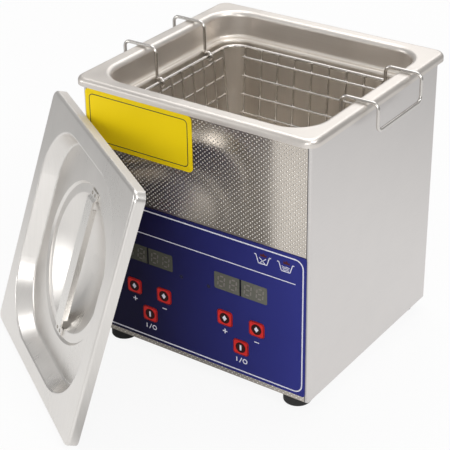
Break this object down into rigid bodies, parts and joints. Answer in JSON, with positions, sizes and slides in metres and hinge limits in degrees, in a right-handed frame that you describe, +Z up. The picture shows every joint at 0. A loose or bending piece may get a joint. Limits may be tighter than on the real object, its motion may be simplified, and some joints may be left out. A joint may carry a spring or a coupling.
{
  "type": "ultrasonic cleaner",
  "caption": "Bench-top ultrasonic cleaner with a square steel tank, a hanging wire basket, a key panel with two displays and a loose pressed lid that leans on the housing.",
  "frame": {"origin": "on the table, under the middle of the housing", "axes": "+Z up, front panel faces -Y, +X to the right as seen from the front"},
  "size_m": [0.243, 0.2667, 0.19],
  "materials": {
    "housing_steel": "fine brushed",
    "embossed_steel": "embossed with small raised dots",
    "tank_steel": "bright drawn sheet",
    "lid_steel": "bright pressed sheet",
    "wire_steel": "electropolished wire",
    "label_yellow": "satin printed film",
    "overlay_blue": "printed film",
    "window_grey": "clear smoked window",
    "digit_module": "grey display module",
    "lamp_lens": "tinted lens",
    "key_red": "satin cap",
    "board_green": "solder resist",
    "black_plastic": "moulded",
    "grey_plastic": "moulded",
    "rocker_red": "moulded",
    "brass": "turned",
    "aluminium": "machined",
    "ceramic": "fired ceramic",
    "dark_steel": "blackened",
    "heater_silicone": "silicone pad",
    "zinc_steel": "zinc plated",
    "copper_coil": "lacquered winding",
    "capacitor_sleeve": "shrink sleeve",
    "foot_rubber": "moulded"
  },
  "bodies": {
    "unit": {"housing_wrap": "housing_steel", "front_plate": "embossed_steel", "base_tray": "housing_steel", "tank_collar": "tank_steel", "tank_bowl": "tank_steel", "label_plate": "label_yellow", "control_overlay": "overlay_blue", "temperature_window": "window_grey", "timer_window": "window_grey", "temperature_digits": "digit_module", "timer_digits": "digit_module", "indicator_lamps": "lamp_lens", "display_board": "board_green", "tact_switches": "black_plastic", "display_standoffs": "brass", "transducer_bells": "aluminium", "piezo_rings": "ceramic", "back_masses": "dark_steel", "transducer_bolts": "dark_steel", "heater_pad": "heater_silicone", "temperature_probe": "zinc_steel", "thermal_cutout": "black_plastic", "generator_board": "board_green", "generator_standoffs": "brass", "heat_sink": "aluminium", "power_transistors": "black_plastic", "transformer_core": "dark_steel", "transformer_coil": "copper_coil", "filter_capacitors": "capacitor_sleeve", "choke_ring": "copper_coil", "fan_frame": "black_plastic", "fan_screws": "zinc_steel", "mains_inlet": "black_plastic", "inlet_pins": "brass", "inlet_screws": "zinc_steel", "switch_body": "black_plastic", "foot_front_left": "foot_rubber", "foot_front_right": "foot_rubber", "foot_rear_left": "foot_rubber", "foot_rear_right": "foot_rubber", "foot_screws": "zinc_steel"},
    "lid": {"lid_pan": "lid_steel", "lid_strap": "lid_steel"},
    "basket": {"basket_rim": "wire_steel", "basket_front": "wire_steel", "basket_back": "wire_steel", "basket_left": "wire_steel", "basket_right": "wire_steel", "basket_floor": "wire_steel"},
    "basket_handle_left": {"handle_left": "wire_steel"},
    "basket_handle_right": {"handle_right": "wire_steel"},
    "temp_up_key": {"key_temp_up": "key_red"},
    "temp_down_key": {"key_temp_down": "key_red"},
    "heat_key": {"key_heat": "key_red"},
    "time_up_key": {"key_time_up": "key_red"},
    "time_down_key": {"key_time_down": "key_red"},
    "clean_key": {"key_clean": "key_red"},
    "power_rocker": {"switch_rocker": "rocker_red"},
    "fan_wheel": {"fan_rotor": "grey_plastic"}
  },
  "joints": [
    {"name": "lid_lift", "type": "slide", "parent": "unit", "child": "lid", "axis": [-0.5185, -0.7984, 0.3063], "range_m": [0, 0.12]},
    {"name": "basket_lift", "type": "slide", "parent": "unit", "child": "basket", "axis": [0, 0, 1], "range_m": [0, 0.15]},
    {"name": "handle_left_hinge", "type": "hinge", "parent": "basket", "child": "basket_handle_left", "pos_m": [-0.06695, 0.008, 0.166], "axis": [0, 1, 0], "range_deg": [0, 12]},
    {"name": "handle_right_hinge", "type": "hinge", "parent": "basket", "child": "basket_handle_right", "pos_m": [0.06455, 0.008, 0.166], "axis": [0, -1, 0], "range_deg": [0, 12]},
    {"name": "temp_up_press", "type": "slide", "parent": "unit", "child": "temp_up_key", "axis": [0, 1, 0], "range_m": [0, 0.0005], "stiffness_N_per_m": 400},
    {"name": "temp_down_press", "type": "slide", "parent": "unit", "child": "temp_down_key", "axis": [0, 1, 0], "range_m": [0, 0.0005], "stiffness_N_per_m": 400},
    {"name": "heat_press", "type": "slide", "parent": "unit", "child": "heat_key", "axis": [0, 1, 0], "range_m": [0, 0.0005], "stiffness_N_per_m": 400},
    {"name": "time_up_press", "type": "slide", "parent": "unit", "child": "time_up_key", "axis": [0, 1, 0], "range_m": [0, 0.0005], "stiffness_N_per_m": 400},
    {"name": "time_down_press", "type": "slide", "parent": "unit", "child": "time_down_key", "axis": [0, 1, 0], "range_m": [0, 0.0005], "stiffness_N_per_m": 400},
    {"name": "clean_press", "type": "slide", "parent": "unit", "child": "clean_key", "axis": [0, 1, 0], "range_m": [0, 0.0005], "stiffness_N_per_m": 400},
    {"name": "rocker_turn", "type": "hinge", "parent": "unit", "child": "power_rocker", "pos_m": [-0.048, 0.07475, 0.07], "axis": [0, 0, 1], "range_deg": [0, 16]},
    {"name": "fan_spin", "type": "hinge", "parent": "unit", "child": "fan_wheel", "pos_m": [0.038, 0.067, 0.046], "axis": [0, 1, 0], "continuous": true}
  ]
}
